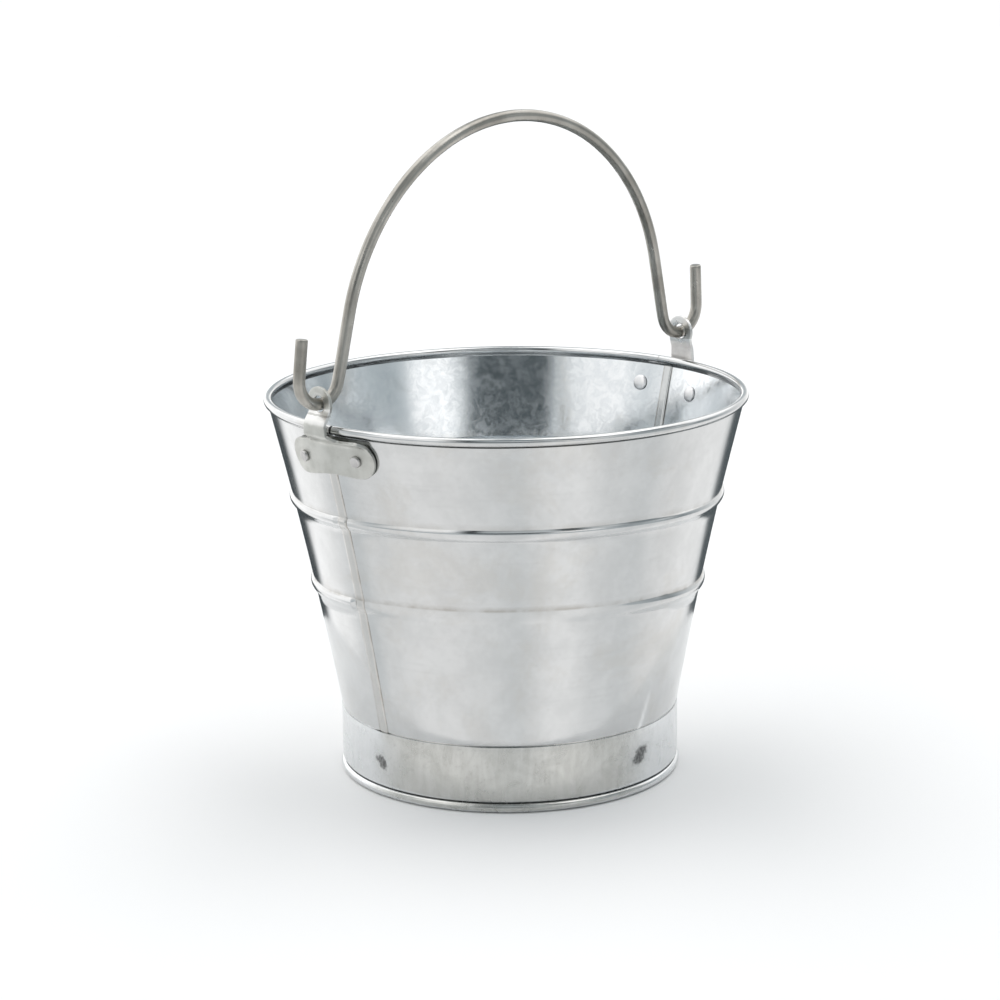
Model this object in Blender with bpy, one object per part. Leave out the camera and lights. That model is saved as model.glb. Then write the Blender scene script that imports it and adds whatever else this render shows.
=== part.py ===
"""Galvanised florist's bucket with a wired rim, a foot band, two riveted ears and a wire bail.

Metres, +Z up. The origin is at the bottom centre, on the surface the bucket stands on.
The two side seams and the two ears lie on the X axis, and the bail turns about a line
parallel to X. The front panel is on the -Y side.
"""
import math

import bmesh
import bpy
from mathutils import Matrix, Vector

# Sheet metal
SHEET = 0.0005                # thickness of the body and foot sheets
SEGMENTS = 40                 # divisions of a full turn
MERGE_DISTANCE = 1e-7         # points closer than this are one point
CUT_MARGIN = 0.004            # how far a cutter reaches past what it cuts

# Body wall: outer radius = WALL_RADIUS + WALL_SLOPE * z + WALL_FLARE * z^2
WALL_RADIUS = 0.06578
WALL_SLOPE = 0.1603
WALL_FLARE = 0.297
WALL_TOP = 0.1559             # height where the wall turns into the rim roll
BODY_FOOT = 0.0056            # height of the lip that carries the bottom disc
LIP_INNER_RADIUS = 0.0626
LIP_CUT = 0.0040              # the lip stops this far from the seam on the outer-edge side
LIP_CUT_TOP = 0.0064
FOOT_STEP = 0.0007            # the wall steps in by this much behind the foot band
FOOT_STEP_LOW = 0.0274
FOOT_STEP_HIGH = 0.0286

# Two raised beads around the wall: centre height, height of the bead, how far it stands out
BEADS = ((0.0849, 0.0060, 0.0015), (0.1203, 0.0054, 0.0015))
BEAD_STEPS = 6
BEAD_SKEW = 0.75              # below 1 makes the upper side of a bead the steeper one

# Wired rim
ROLL_CENTRE_RADIUS = 0.09825
ROLL_CENTRE_Z = 0.15825
ROLL_MID_RADIUS = 0.0015      # roll radius at the middle of the sheet
ROLL_START_DEG = 235.0
ROLL_END_DEG = -70.0
ROLL_STEPS = 9
RIM_WIRE_RADIUS = 0.0009
RIM_WIRE_SIDES = 8

# Lapped side seams, as arc lengths from the seam's centre line
SEAM_EDGE = 0.0020            # the sheet's edge
SEAM_BEND = 0.0022            # end of the raised or sunk strip
SEAM_RAMP = 0.0032            # where the strip has run back into the wall
SEAM_RAISE = 0.0002           # the outer edge stands out by this
SEAM_SINK = 0.0006            # the inner edge lies this far in
ROLL_CUT_INNER = 0.0055       # the roll stops this far from the seam on the inner-edge side
ROLL_CUT_OUTER = 0.0040       # and this far on the outer-edge side

# Bottom disc, a shallow pan turned upside down
DISC_TOP = 0.0112
DISC_RADIUS = 0.0645
DISC_SHEET = 0.0006
DISC_LIFT = 0.0003            # gap between the disc's flange and the body's lip
DISC_STEP_RADIUS = 0.0520     # the raised middle ends here
DISC_STEP = 0.0010
DISC_STEP_RUN = 0.0030        # width of the slope below it

# Foot band with its curled lower edge
BAND_RADIUS = 0.0707          # outer radius
BAND_TOP = 0.0273
BAND_FOOT = 0.0050
CURL_CENTRE_RADIUS = 0.0694
CURL_MID_RADIUS = 0.00175
CURL_START_DEG = 112.5
CURL_STEP_DEG = 45.0          # the middle of the fourth step faces straight down
CURL_STEPS = 7

# Ears: stamped plates that follow the wall and pass outside the rim roll
EAR_SHEET = 0.0014
EAR_STANDOFF = 0.00055        # from the wall to the ear's inner face
EAR_LOBE_OFFSET = 0.0166
EAR_LOBE_RADIUS = 0.0073
EAR_LOBE_Z = 0.1454
EAR_WAIST = 0.0011
EAR_NECK_HALF = 0.0060
EAR_FILLET = 0.0036
EAR_REFERENCE_RADIUS = 0.0970 # arc lengths along the ear are measured at this radius
EYE_RADIUS = 0.0067
EYE_HOLE_RADIUS = 0.0036
EAR_HOLE_SIDES = 16
EAR_WAIST_STEPS = 4
EAR_LOBE_STEPS = 10
EAR_FILLET_STEPS = 4
EAR_EYE_STEPS = 8
EAR_OUT_STEPS = 4             # bend lines of the neck on its way out
EAR_BACK_STEPS = 3            # and on its way back in
EAR_CROSS_PITCH = 0.0035      # spacing of the upright bend lines
EAR_CROSS_LINES = 6           # on each side of the middle
HINGE_Z = 0.1695              # height of the eyes before the ears are set
EAR_SET_FROM = 0.1550         # the lobes' tilt dies out and the eye's lift comes in between
EAR_SET_TO = 0.1625           # these heights

# How each ear was bent and riveted on by hand.
# bulge: outer face where the neck clears the roll; eye_face: outer face of the upright eye;
# bends: heights where it leaves the wall, is fully out, starts back in, and is upright;
# shift and shear move it along the wall, tilt and rise turn and lift its lobes, lift raises its eye
EAR_SETS = {
    "left": {"bulge": 0.1043, "eye_face": 0.1008, "bends": (0.1522, 0.1568, 0.1600, 0.1665),
             "shift": 0.0, "shear": 0.046, "tilt": 0.066, "rise": 0.0006, "lift": -0.0010},
    "right": {"bulge": 0.1064, "eye_face": 0.1055, "bends": (0.1522, 0.1580, 0.1628, 0.1672),
              "shift": -0.0003, "shear": -0.043, "tilt": 0.038, "rise": 0.0008, "lift": 0.0012}}

# Rivets through ear and wall
RIVET_OFFSET = 0.01535        # along the ear, from its centre line
RIVET_Z = 0.1460              # before the ear is set
RIVET_SHANK_RADIUS = 0.0013
RIVET_HOLE_RADIUS = 0.00165
RIVET_HEAD_RADIUS = 0.0033
RIVET_HEAD_HEIGHT = 0.0011
RIVET_HEAD_DEPTH = 0.0010     # from the wall's outer face in to the head's bearing face
RIVET_TAIL_RADIUS = 0.0024
RIVET_TAIL_HEIGHT = 0.0011
RIVET_TAIL_REACH = 0.00225    # from the wall's outer face out to the tail's bearing face
RIVET_SIDES = 12
# Half sections of head and tail, as (height, radius) in shares of their height and radius
RIVET_DOME = ((1.0, 0.0), (0.92, 0.5), (0.55, 0.88), (0.0, 1.0))
RIVET_CAP = ((0.0, 1.0), (0.65, 0.93), (1.0, 0.7), (1.0, 0.0))

# Bail: one round wire, an arch whose legs turn out through the eyes and up into free ends
BAIL_WIRE_RADIUS = 0.0024
BAIL_ARCH_RADIUS = 0.0884
BAIL_ARCH_CENTRE_Z = 0.01475  # above the hinge line
BAIL_ARCH_END_DEG = 13.4
BAIL_END_DEG = 5.0            # the free ends lean in by this
# Each side as bent by hand: how far the leg leans and its length, the radius of the hook that
# turns out through the eye, and the length of the free end
BAIL_SIDES = {-1.0: (11.9, 0.0292, 0.0101, 0.0161), 1.0: (13.4, 0.0271, 0.0107, 0.0170)}
BAIL_TILT_DEG = 2.45          # the bail leans this much towards the front
BAIL_SHIFT = 0.0012           # end play taken up towards +X
BAIL_ARCH_STEPS = 14
BAIL_HOOK_STEPS = 9
BAIL_BEVEL = 3                # fineness of the wire's round section


def clear_scene():
    for scene_object in list(bpy.data.objects):
        bpy.data.objects.remove(scene_object, do_unlink=True)


def make_material(name, colour, roughness, metallic=1.0):
    material = bpy.data.materials.new(name)
    material.use_nodes = True
    shader = material.node_tree.nodes["Principled BSDF"]
    shader.inputs["Base Color"].default_value = (*colour, 1.0)
    shader.inputs["Roughness"].default_value = roughness
    shader.inputs["Metallic"].default_value = metallic
    return material


def add_object(name, data, material=None):
    new_object = bpy.data.objects.new(name, data)
    bpy.context.scene.collection.objects.link(new_object)
    if material is not None and not data.materials:
        data.materials.append(material)
    return new_object


def add_cutter(name, data):
    cutter = add_object(name, data)
    cutter.hide_render = True
    cutter.display_type = "WIRE"
    return cutter


def cut(target, cutter):
    modifier = target.modifiers.new(cutter.name, "BOOLEAN")
    modifier.operation = "DIFFERENCE"
    modifier.solver = "EXACT"
    modifier.object = cutter


def finish_mesh(bm, name, sharp_deg=35.0):
    bmesh.ops.recalc_face_normals(bm, faces=bm.faces)
    mesh = bpy.data.meshes.new(name)
    bm.to_mesh(mesh)
    bm.free()
    mesh.shade_smooth()
    mesh.set_sharp_from_angle(angle=math.radians(sharp_deg))
    return mesh


def smooth_step(value, low, high):
    t = min(max((value - low) / (high - low), 0.0), 1.0)
    return t * t * (3.0 - 2.0 * t)


def arc(centre, radius, start_deg, end_deg, steps):
    """Points (u, v) on an arc, both ends included."""
    points = []
    for step in range(steps + 1):
        angle = math.radians(start_deg + (end_deg - start_deg) * step / steps)
        points.append((centre[0] + radius * math.cos(angle), centre[1] + radius * math.sin(angle)))
    return points


def thicken(midline, thickness):
    """Closed outline of a sheet of this thickness whose middle follows the open line."""
    points = [Vector(point) for point in midline]
    left, right = [], []
    for index, point in enumerate(points):
        before = points[max(index - 1, 0)]
        after = points[min(index + 1, len(points) - 1)]
        into = (point - before).normalized() if index else (after - point).normalized()
        out = (after - point).normalized() if index < len(points) - 1 else into
        tangent = (into + out).normalized()
        normal = Vector((-tangent.y, tangent.x))
        reach = 0.5 * thickness / max(normal.dot(Vector((-out.y, out.x))), 0.5)
        left.append(point + normal * reach)
        right.append(point - normal * reach)
    return left + right[::-1]


def sweep_sections(sections, closed):
    """Solid whose skin joins each ring of points to the next, with flat ends if open."""
    bm = bmesh.new()
    rings = [[bm.verts.new(point) for point in section] for section in sections]
    pairs = list(zip(rings, rings[1:]))
    if closed:
        pairs.append((rings[-1], rings[0]))
    else:
        bm.faces.new(rings[0])
        bm.faces.new(rings[-1])
    count = len(rings[0])
    for near, far in pairs:
        for index in range(count):
            nxt = (index + 1) % count
            bm.faces.new((near[index], near[nxt], far[nxt], far[index]))
    bmesh.ops.remove_doubles(bm, verts=bm.verts, dist=MERGE_DISTANCE)
    return bm


def ring_point(radius, z, angle, along=0.0):
    """Point at a polar angle, moved along the circumference by an arc length."""
    turned = angle + (along / radius if radius > 0.001 else 0.0)
    return Vector((radius * math.cos(turned), radius * math.sin(turned), z))


def revolve(outline, name, material):
    """Closed outline of (radius, z) turned once about the Z axis."""
    sections = []
    for step in range(SEGMENTS):
        angle = 2.0 * math.pi * step / SEGMENTS
        sections.append([ring_point(radius, z, angle) for radius, z in outline])
    return add_object(name, finish_mesh(sweep_sections(sections, True), name), material)


def wall_radius(z):
    """Outer radius of the plain wall."""
    return WALL_RADIUS + WALL_SLOPE * z + WALL_FLARE * z * z


def wall_tilt(z):
    """Angle of the wall from the upright."""
    return math.atan(WALL_SLOPE + 2.0 * WALL_FLARE * z)


def body_midline():
    """Middle of the body sheet, from the lip under the disc up the wall and round the rim roll."""
    half = 0.5 * SHEET

    def wall(z, inset=0.0):
        return (wall_radius(z) - half - inset, z)

    points = [(LIP_INNER_RADIUS, BODY_FOOT), wall(BODY_FOOT, FOOT_STEP)]
    points.append(wall(FOOT_STEP_LOW, FOOT_STEP))
    points.append(wall(FOOT_STEP_HIGH))
    below = FOOT_STEP_HIGH
    for centre, height, stand_out in BEADS:
        points.append(wall(0.5 * (below + centre)))
        for step in range(BEAD_STEPS + 1):
            down = 1.0 - step / BEAD_STEPS
            z = centre + height * (0.5 - down)
            swell = stand_out * math.sin(math.pi * down ** BEAD_SKEW)
            points.append(wall(z, -swell))
        below = centre
    points.append(wall(0.5 * (below + WALL_TOP)))
    points.append(wall(WALL_TOP))
    points += arc((ROLL_CENTRE_RADIUS, ROLL_CENTRE_Z), ROLL_MID_RADIUS,
                  ROLL_START_DEG, ROLL_END_DEG, ROLL_STEPS)
    return points


def panel_stations():
    """(angle, arc length, radial shift) of each section of one half body, seam to seam."""
    half_turn = SEGMENTS // 2
    stations = [(0.0, -SEAM_EDGE, -SEAM_SINK), (0.0, SEAM_BEND, -SEAM_SINK), (0.0, SEAM_RAMP, 0.0)]
    for step in range(1, half_turn):
        stations.append((math.pi * step / half_turn, 0.0, 0.0))
    stations += [(math.pi, -SEAM_RAMP, 0.0), (math.pi, -SEAM_BEND, SEAM_RAISE),
                 (math.pi, SEAM_EDGE, SEAM_RAISE)]
    return stations


def panel_mesh():
    outline = thicken(body_midline(), SHEET)
    sections = []
    for angle, along, shift in panel_stations():
        sections.append([ring_point(point.x + shift, point.y, angle, along) for point in outline])
    return finish_mesh(sweep_sections(sections, False), "body_panel")


def box_mesh(name, low, high):
    bm = bmesh.new()
    bmesh.ops.create_cube(bm, size=1.0)
    centre = [0.5 * (a + b) for a, b in zip(low, high)]
    size = [b - a for a, b in zip(low, high)]
    bmesh.ops.scale(bm, vec=size, verts=bm.verts)
    bmesh.ops.translate(bm, vec=centre, verts=bm.verts)
    return finish_mesh(bm, name)


def wall_frame(angle, z):
    """Location and rotation of a frame on the wall with local +X along its outward normal."""
    location = ring_point(wall_radius(z), z, angle)
    return location, (0.0, wall_tilt(z), angle)


def drill_mesh():
    bm = bmesh.new()
    bmesh.ops.create_cone(bm, cap_ends=True, segments=RIVET_SIDES, depth=2.0 * CUT_MARGIN,
                          radius1=RIVET_HOLE_RADIUS, radius2=RIVET_HOLE_RADIUS,
                          matrix=Matrix.Rotation(math.radians(90.0), 4, "Y"))
    return finish_mesh(bm, "rivet_drill")


def set_on_side(side, along, z):
    """Where a point of the straight ear goes when the ear is set and riveted on a little askew."""
    ear = EAR_SETS[side]
    high = smooth_step(z, EAR_SET_FROM, EAR_SET_TO)
    raised = (1.0 - high) * (ear["tilt"] * along + ear["rise"]) + high * ear["lift"]
    return along + ear["shift"] + ear["shear"] * (HINGE_Z - z), z + raised


def rivet_places():
    """(side, end, polar angle, height) of each rivet; an ear runs anticlockwise seen from above."""
    places = []
    for side, turn, ends in (("right", 0.0, ("front", "rear")), ("left", math.pi, ("rear", "front"))):
        for end, offset in zip(ends, (-RIVET_OFFSET, RIVET_OFFSET)):
            along, z = set_on_side(side, offset, RIVET_Z)
            places.append((side, end, turn + along / EAR_REFERENCE_RADIUS, z))
    return places


def build_body(material):
    """Front and rear panels: one mesh, the front one turned half a turn about Z."""
    mesh = panel_mesh()
    reach = ROLL_CENTRE_RADIUS + CUT_MARGIN
    cut_top = ROLL_CENTRE_Z + CUT_MARGIN
    past_edge = -2.0 * SEAM_RAMP
    notches = (
        box_mesh("roll_inner", (WALL_RADIUS, past_edge, WALL_TOP), (reach, ROLL_CUT_INNER, cut_top)),
        box_mesh("roll_outer", (-reach, past_edge, WALL_TOP), (-WALL_RADIUS, ROLL_CUT_OUTER, cut_top)),
        box_mesh("lip_outer", (-reach, past_edge, 0.0), (0.0, LIP_CUT, LIP_CUT_TOP)))
    drill = drill_mesh()
    for place, turn in (("rear", 0.0), ("front", math.pi)):
        panel = add_object("body_panel_" + place, mesh, material)
        panel.rotation_euler.z = turn
        for notch in notches:
            cutter = add_cutter("cut_" + notch.name + "_" + place, notch)
            cutter.rotation_euler.z = turn
            cut(panel, cutter)
        for side, end, angle, z in rivet_places():
            if end == place:
                cutter = add_cutter("cut_hole_" + side + "_" + place, drill)
                cutter.location, cutter.rotation_euler = wall_frame(angle, z)
                cut(panel, cutter)


def build_rim_wire(material):
    outline = arc((ROLL_CENTRE_RADIUS, ROLL_CENTRE_Z), RIM_WIRE_RADIUS, 0.0,
                  360.0 * (RIM_WIRE_SIDES - 1) / RIM_WIRE_SIDES, RIM_WIRE_SIDES - 1)
    revolve(outline, "rim_wire", material)


def build_disc(material):
    """Pan with its flange turned down onto the body's lip and a slightly raised middle."""
    foot = BODY_FOOT + 0.5 * SHEET + DISC_LIFT
    low_top = DISC_TOP - DISC_STEP
    slope_radius = DISC_STEP_RADIUS + DISC_STEP_RUN
    outline = [(0.0, DISC_TOP - DISC_SHEET), (DISC_STEP_RADIUS, DISC_TOP - DISC_SHEET),
               (slope_radius, low_top - DISC_SHEET), (DISC_RADIUS - DISC_SHEET, low_top - DISC_SHEET),
               (DISC_RADIUS - DISC_SHEET, foot), (DISC_RADIUS, foot), (DISC_RADIUS, low_top),
               (slope_radius, low_top), (DISC_STEP_RADIUS, DISC_TOP), (0.0, DISC_TOP)]
    revolve(outline, "bottom_disc", material)


def build_foot_band(material):
    """Upright band whose lower edge curls in, under and out, with a flat facet to stand on."""
    half = 0.5 * SHEET
    centre_z = CURL_MID_RADIUS * math.cos(math.radians(0.5 * CURL_STEP_DEG)) + half
    midline = [(BAND_RADIUS - half, BAND_TOP), (BAND_RADIUS - half, BAND_FOOT)]
    midline += arc((CURL_CENTRE_RADIUS, centre_z), CURL_MID_RADIUS,
                   CURL_START_DEG, CURL_START_DEG + CURL_STEPS * CURL_STEP_DEG, CURL_STEPS)
    revolve([tuple(point) for point in thicken(midline, SHEET)], "foot_band", material)


def ear_face_radius(z, ear):
    """Outer face of the ear: on the wall, out over the roll, back in to the upright eye."""
    leave, bulge, bulge_end, eye = ear["bends"]
    on_wall = wall_radius(min(z, bulge)) + (EAR_STANDOFF + EAR_SHEET) / math.cos(wall_tilt(leave))
    radius = on_wall + (ear["bulge"] - on_wall) * smooth_step(z, leave, bulge)
    return radius + (ear["eye_face"] - radius) * smooth_step(z, bulge_end, eye)


def ear_outline():
    """Ear seen from outside, as (along, z): two lobes, a waist below, a neck and the eye above."""
    lobe_low = EAR_LOBE_Z - EAR_LOBE_RADIUS
    lobe_top = EAR_LOBE_Z + EAR_LOBE_RADIUS
    right = []
    for step in range(1, EAR_WAIST_STEPS):
        part = step / EAR_WAIST_STEPS
        rise = 0.5 * EAR_WAIST * (1.0 + math.cos(math.pi * part))
        right.append((EAR_LOBE_OFFSET * part, lobe_low + rise))
    right += arc((EAR_LOBE_OFFSET, EAR_LOBE_Z), EAR_LOBE_RADIUS, -90.0, 90.0, EAR_LOBE_STEPS)
    right += arc((EAR_NECK_HALF + EAR_FILLET, lobe_top + EAR_FILLET), EAR_FILLET,
                 270.0, 180.0, EAR_FILLET_STEPS)
    join_deg = math.degrees(math.acos(EAR_NECK_HALF / EYE_RADIUS))
    right += arc((0.0, HINGE_Z), EYE_RADIUS, -join_deg, 90.0, EAR_EYE_STEPS)
    left = [(-along, z) for along, z in right[-2::-1]]
    return [(0.0, lobe_low + EAR_WAIST)] + right + left


def ear_mesh(side):
    """Flat stamped blank, then bent: each point moves to the ear's face and back by its depth."""
    bm = bmesh.new()
    rivet_z = RIVET_Z - (EAR_STANDOFF + EAR_SHEET) * math.sin(wall_tilt(RIVET_Z))
    loops = [ear_outline()]
    for along, z, radius in ((0.0, HINGE_Z, EYE_HOLE_RADIUS), (RIVET_OFFSET, rivet_z, RIVET_HOLE_RADIUS),
                             (-RIVET_OFFSET, rivet_z, RIVET_HOLE_RADIUS)):
        whole_turn = 360.0 * (EAR_HOLE_SIDES - 1) / EAR_HOLE_SIDES
        loops.append(arc((along, z), radius, 0.0, whole_turn, EAR_HOLE_SIDES - 1))
    for loop in loops:
        verts = [bm.verts.new((0.0, along, z)) for along, z in loop]
        for index, vert in enumerate(verts):
            bm.edges.new((vert, verts[(index + 1) % len(verts)]))
    bmesh.ops.triangle_fill(bm, edges=bm.edges, use_beauty=True)
    raised = bmesh.ops.extrude_face_region(bm, geom=bm.faces)["geom"]
    top = [item for item in raised if isinstance(item, bmesh.types.BMVert)]
    bmesh.ops.translate(bm, vec=(EAR_SHEET, 0.0, 0.0), verts=top)
    cuts = [((0.0, 0.0, height), (0.0, 0.0, 1.0)) for height in ear_bend_lines(EAR_SETS[side])]
    for line in range(-EAR_CROSS_LINES, EAR_CROSS_LINES + 1):
        cuts.append(((0.0, line * EAR_CROSS_PITCH, 0.0), (0.0, 1.0, 0.0)))
    for point, normal in cuts:
        geom = list(bm.verts) + list(bm.edges) + list(bm.faces)
        bmesh.ops.bisect_plane(bm, geom=geom, dist=10.0 * MERGE_DISTANCE,
                               plane_co=point, plane_no=normal)
    bmesh.ops.triangulate(bm, faces=bm.faces)
    for vert in bm.verts:
        vert.co = bend_ear_point(vert.co, side)
    return finish_mesh(bm, "ear_plate_" + side)


def ear_bend_lines(ear):
    """Heights on the flat blank where it is cut across so that it can bend."""
    leave, bulge, bulge_end, eye = ear["bends"]
    bulge_end, eye = bulge_end - ear["lift"], eye - ear["lift"]
    lines = [leave + (bulge - leave) * step / EAR_OUT_STEPS for step in range(EAR_OUT_STEPS + 1)]
    lines += [bulge_end + (eye - bulge_end) * step / EAR_BACK_STEPS for step in range(EAR_BACK_STEPS + 1)]
    return lines


def bend_ear_point(flat, side):
    """flat.x is the height above the inner face, flat.y the distance along, flat.z the height."""
    ear = EAR_SETS[side]
    along, height = set_on_side(side, flat.y, flat.z)
    depth = EAR_SHEET - flat.x
    probe = 0.0002
    slope = (ear_face_radius(height + probe, ear) - ear_face_radius(height - probe, ear)) / (2.0 * probe)
    length = math.hypot(1.0, slope)
    radius = ear_face_radius(height, ear) - depth / length
    turn = along / EAR_REFERENCE_RADIUS
    wrap = 1.0 - smooth_step(height, ear["bends"][0], ear["bends"][3])
    x = radius * (wrap * math.cos(turn) + 1.0 - wrap)
    y = wrap * radius * math.sin(turn) + (1.0 - wrap) * along
    return Vector((x, y, height + depth * slope / length))


def rivet_mesh():
    """Flat-domed head inside, shank, and a small set tail outside; the axis is local X."""
    head, tail = -RIVET_HEAD_DEPTH, RIVET_TAIL_REACH
    profile = [(head - RIVET_HEAD_HEIGHT * high, RIVET_HEAD_RADIUS * wide) for high, wide in RIVET_DOME]
    profile += [(head, RIVET_SHANK_RADIUS), (tail, RIVET_SHANK_RADIUS)]
    profile += [(tail + RIVET_TAIL_HEIGHT * high, RIVET_TAIL_RADIUS * wide) for high, wide in RIVET_CAP]
    bm = bmesh.new()
    verts = [bm.verts.new((along, 0.0, radius)) for along, radius in profile]
    edges = [bm.edges.new(pair) for pair in zip(verts, verts[1:])]
    bmesh.ops.spin(bm, geom=verts + edges, cent=(0.0, 0.0, 0.0), axis=(1.0, 0.0, 0.0),
                   angle=2.0 * math.pi, steps=RIVET_SIDES, use_merge=True)
    bmesh.ops.remove_doubles(bm, verts=bm.verts, dist=10.0 * MERGE_DISTANCE)
    return finish_mesh(bm, "rivet")


def build_ears(ear_material, rivet_material):
    rivet = rivet_mesh()
    for side, turn in (("right", 0.0), ("left", math.pi)):
        ear = add_object("ear_" + side, ear_mesh(side), ear_material)
        ear.rotation_euler.z = turn
    for side, end, angle, z in rivet_places():
        pin = add_object("rivet_" + side + "_" + end, rivet, rivet_material)
        pin.location, pin.rotation_euler = wall_frame(angle, z)


def bail_half(leg_deg, leg_length, hook_radius, end_length):
    """Half of the bail's centre line, from the crown to the free end, in its own plane."""
    points = arc((0.0, BAIL_ARCH_CENTRE_Z), BAIL_ARCH_RADIUS, 90.0, BAIL_ARCH_END_DEG, BAIL_ARCH_STEPS)
    lean = math.radians(leg_deg)
    knee = Vector(points[-1]) + leg_length * Vector((math.sin(lean), -math.cos(lean)))
    centre = knee + hook_radius * Vector((math.cos(lean), math.sin(lean)))
    points += arc(centre, hook_radius, 180.0 + leg_deg, 360.0 + BAIL_END_DEG, BAIL_HOOK_STEPS)
    end_lean = math.radians(BAIL_END_DEG)
    tip = Vector(points[-1]) + end_length * Vector((-math.sin(end_lean), math.cos(end_lean)))
    points.append(tuple(tip))
    return points


def build_bail(material):
    left = bail_half(*BAIL_SIDES[-1.0])
    right = bail_half(*BAIL_SIDES[1.0])
    path = [(-along, z) for along, z in left[:0:-1]] + right
    curve = bpy.data.curves.new("bail", "CURVE")
    curve.dimensions = "3D"
    curve.bevel_depth = BAIL_WIRE_RADIUS
    curve.bevel_resolution = BAIL_BEVEL
    curve.use_fill_caps = True
    spline = curve.splines.new("POLY")
    spline.points.add(len(path) - 1)
    for point, (along, z) in zip(spline.points, path):
        point.co = (along, 0.0, z, 1.0)
    spline.use_smooth = True
    hinge = add_object("bail_hinge", None)
    hinge.location = (0.0, 0.0, HINGE_Z)
    hinge.rotation_euler.x = math.radians(BAIL_TILT_DEG)
    bail = add_object("bail", curve, material)
    bail.parent = hinge
    bail.location.x = BAIL_SHIFT


def main():
    clear_scene()
    body_metal = make_material("galvanised_body", (0.66, 0.68, 0.69), 0.30)
    foot_metal = make_material("galvanised_foot", (0.58, 0.58, 0.57), 0.38)
    wire_metal = make_material("rim_steel", (0.45, 0.45, 0.45), 0.45)
    ear_metal = make_material("ear_zinc", (0.52, 0.52, 0.49), 0.55)
    rivet_metal = make_material("rivet_zinc", (0.50, 0.49, 0.48), 0.50)
    bail_metal = make_material("bail_wire", (0.36, 0.34, 0.31), 0.42)
    build_body(body_metal)
    build_rim_wire(wire_metal)
    build_disc(body_metal)
    build_foot_band(foot_metal)
    build_ears(ear_metal, rivet_metal)
    build_bail(bail_metal)


main()
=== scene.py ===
"""Looks of the galvanised florist's bucket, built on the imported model.

Metres, +Z up, origin at the bottom centre, ears and hinge line along X, the front panel at -Y.
"""
import math

import bmesh
import bpy
import numpy as np
from mathutils import Matrix, Vector, noise


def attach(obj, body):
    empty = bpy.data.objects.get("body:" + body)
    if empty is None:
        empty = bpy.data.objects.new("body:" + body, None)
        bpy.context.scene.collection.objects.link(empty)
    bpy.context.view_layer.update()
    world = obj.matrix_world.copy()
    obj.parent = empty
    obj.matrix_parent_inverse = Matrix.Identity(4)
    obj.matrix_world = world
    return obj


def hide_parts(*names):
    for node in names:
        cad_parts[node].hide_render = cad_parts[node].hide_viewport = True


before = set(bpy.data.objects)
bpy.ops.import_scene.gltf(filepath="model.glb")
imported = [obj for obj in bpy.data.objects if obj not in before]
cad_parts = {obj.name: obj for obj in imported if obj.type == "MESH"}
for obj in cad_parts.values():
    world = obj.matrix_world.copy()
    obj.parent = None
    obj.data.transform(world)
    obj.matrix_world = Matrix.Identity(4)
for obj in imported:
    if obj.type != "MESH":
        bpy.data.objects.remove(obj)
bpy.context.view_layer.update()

# ---------------------------------------------------------------- sizes
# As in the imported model, but for the step behind the foot band, the sag and the lighter pressing of
# the beads, the depth of the seams' laps, where the rim roll starts and ends, the holes in the ears,
# and the bail's wire, whose radius is 0.02 mm larger.
SHEET = 0.0005
WALL_RADIUS, WALL_SLOPE, WALL_FLARE = 0.06578, 0.1603, 0.297
WALL_TOP = 0.1559
BODY_FOOT = 0.0056
LIP_INNER_RADIUS, LIP_BEND, LIP_BEND_TOP = 0.0626, 0.0009, 0.0080
FOOT_STEP, FOOT_STEP_LOW, FOOT_STEP_HIGH = 0.0003, 0.0274, 0.0286
BEADS = ((0.0849, 0.0060, 0.0015), (0.1203, 0.0054, 0.0015))
BEAD_SKEW = 0.75              # below 1 makes the upper side of a bead the steeper one
BEAD_SHOULDER = 1.04          # above 1 makes a bead rise more softly out of the wall
BEAD_STEPS, WALL_STEPS = 24, 14
BEAD_SHADE = (1.0, 0.45)       # how much painted shade lies along the top of the lower and the upper bead
BEAD_DIP_DEG = 136.5          # polar angle of the first of the two sides where the beads sag
# How far each bead lies below its nominal height: all round, and more on the first and second side
BEAD_FALLS = ((0.0009, 0.0034, 0.0042), (0.0015, 0.0020, 0.0026))
# The front panel's beads were pressed lightly next to its first seam: lower and upper bead's share
# of the full depth there, and the polar angles between which they reach it
PRESS_LIGHT = (0.30, 0.72)
PRESS_FROM_DEG, PRESS_TO_DEG = 250.0, 300.0
PRESS_FADE_DEG = 3.0          # the rear panel's beads flatten out over this turn before the seam
PRESS_SOFT = 0.5              # how much rounder a lightly pressed bead starts
ROLL_CENTRE_RADIUS, ROLL_CENTRE_Z, ROLL_MID_RADIUS = 0.09825, 0.15825, 0.0015
SEAM_EDGE, SEAM_BEND, SEAM_RAMP = 0.0020, 0.0022, 0.0032
SEAM_RAISE, SEAM_SINK = 0.0002, 0.00034
ROLL_TURN_DEG = (228.0, -70.0)
ROLL_NECK = 0.00002           # the sheet draws in this much just below the roll
ROLL_STATIONS = 190
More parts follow.
